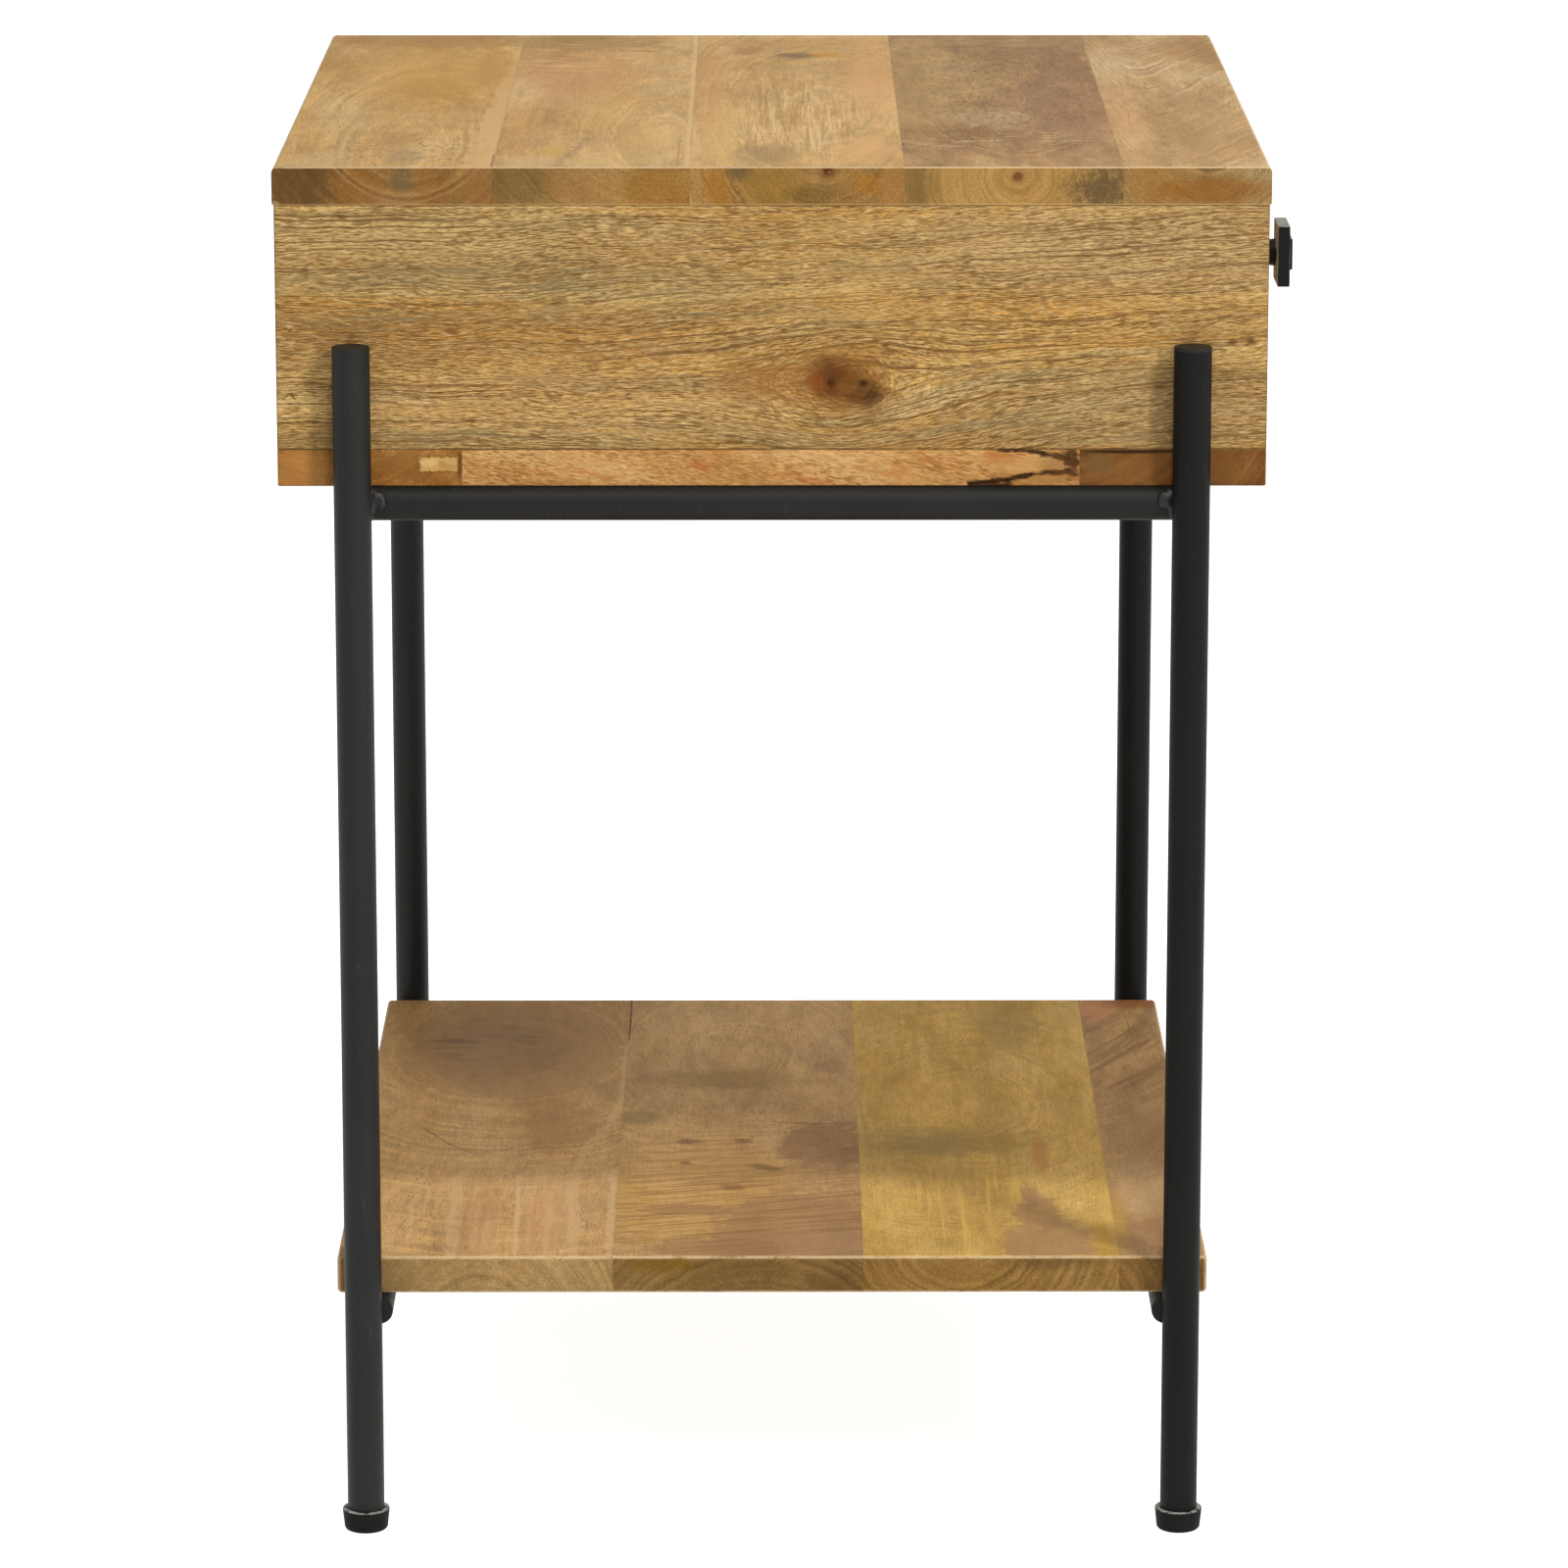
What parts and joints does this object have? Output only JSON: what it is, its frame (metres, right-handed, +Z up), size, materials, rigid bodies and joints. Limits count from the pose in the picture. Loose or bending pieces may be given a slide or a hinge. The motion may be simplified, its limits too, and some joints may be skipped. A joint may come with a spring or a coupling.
{
  "type": "side table with drawer",
  "caption": "Hardwood side table with an inset drawer and a square knob, carried by a welded round-bar iron stand with a lower plank shelf and rubber feet.",
  "frame": {"origin": "on the floor, under the middle of the whole object with the drawer shut", "axes": "+Z up, the drawer front and its knob face -Y, +X to the right as seen from the front"},
  "size_m": [0.5099, 0.4778, 0.642],
  "materials": {
    "hardwood": "sanded planks under a clear matt lacquer",
    "inner_wood": "plain sanded, unlacquered",
    "plywood": "thin plywood, sanded",
    "black_iron": "near-black satin powder coat",
    "knob_iron": "black satin paint, slightly rubbed at the edges",
    "black_rubber": "moulded black rubber",
    "zinc_steel": "bright zinc"
  },
  "bodies": {
    "table": {"back_panel": "hardwood", "bottom_dowels": "inner_wood", "bottom_front_rail": "hardwood", "bottom_left_rail": "hardwood", "bottom_panel": "plywood", "bottom_rear_rail": "hardwood", "bottom_right_rail": "hardwood", "case_rail_left": "black_iron", "case_rail_right": "black_iron", "case_screws": "zinc_steel", "case_tabs": "black_iron", "drawer_runner_left": "inner_wood", "drawer_runner_right": "inner_wood", "drawer_stops": "inner_wood", "foot_front_left": "black_rubber", "foot_front_right": "black_rubber", "foot_rear_left": "black_rubber", "foot_rear_right": "black_rubber", "leg_caps": "black_iron", "leg_front_left": "black_iron", "leg_front_right": "black_iron", "leg_rear_left": "black_iron", "leg_rear_right": "black_iron", "runner_screws": "zinc_steel", "shelf_bar_front": "black_iron", "shelf_bar_rear": "black_iron", "shelf_plank_1": "hardwood", "shelf_plank_2": "hardwood", "shelf_plank_3": "hardwood", "shelf_plank_4": "hardwood", "shelf_screws": "zinc_steel", "side_panel_left": "hardwood", "side_panel_right": "hardwood", "top_dowels": "inner_wood", "top_plank_1": "hardwood", "top_plank_2": "hardwood", "top_plank_3": "hardwood", "top_plank_4": "hardwood", "top_plank_5": "hardwood"},
    "drawer": {"drawer_back": "inner_wood", "drawer_bottom": "plywood", "drawer_dowels": "inner_wood", "drawer_front": "hardwood", "drawer_screws": "zinc_steel", "drawer_side_left": "inner_wood", "drawer_side_right": "inner_wood", "knob_plate": "knob_iron", "knob_screw": "zinc_steel", "knob_stem": "knob_iron"}
  },
  "joints": [
    {"name": "drawer_slide", "type": "slide", "parent": "table", "child": "drawer", "axis": [0, -1, 0], "range_m": [0, 0.3]}
  ]
}
